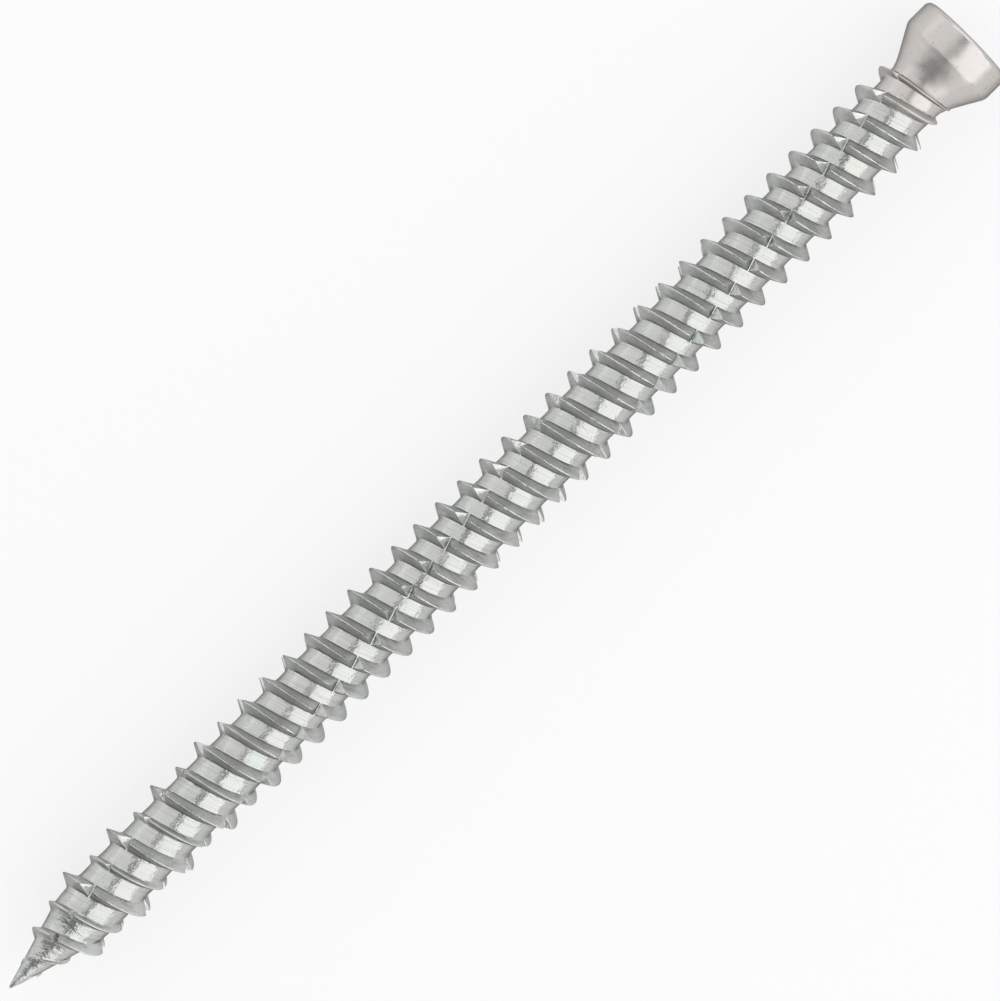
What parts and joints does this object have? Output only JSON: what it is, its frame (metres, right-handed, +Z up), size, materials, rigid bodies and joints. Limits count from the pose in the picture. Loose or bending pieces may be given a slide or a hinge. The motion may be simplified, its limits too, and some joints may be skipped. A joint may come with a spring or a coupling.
{
  "type": "concrete screw",
  "caption": "Long zinc-plated concrete screw: small cylinder head on a cone, lobed drive recess in its top, notched high-low thread along the whole shank, and a tapered point.",
  "frame": {"origin": "centre of the head's top face, at the mouth of the drive recess, on the screw's axis", "axes": "+X along the screw's axis out of the head, the point at -X; +Z up, with the screw lying on its side"},
  "size_m": [0.112, 0.009, 0.0091],
  "materials": {
    "zinc_plated_steel": "bright zinc plating, glossy on the core, finely speckled, a little warmer on the head"
  },
  "bodies": {
    "root": {"screw": "zinc_plated_steel"}
  },
  "joints": []
}
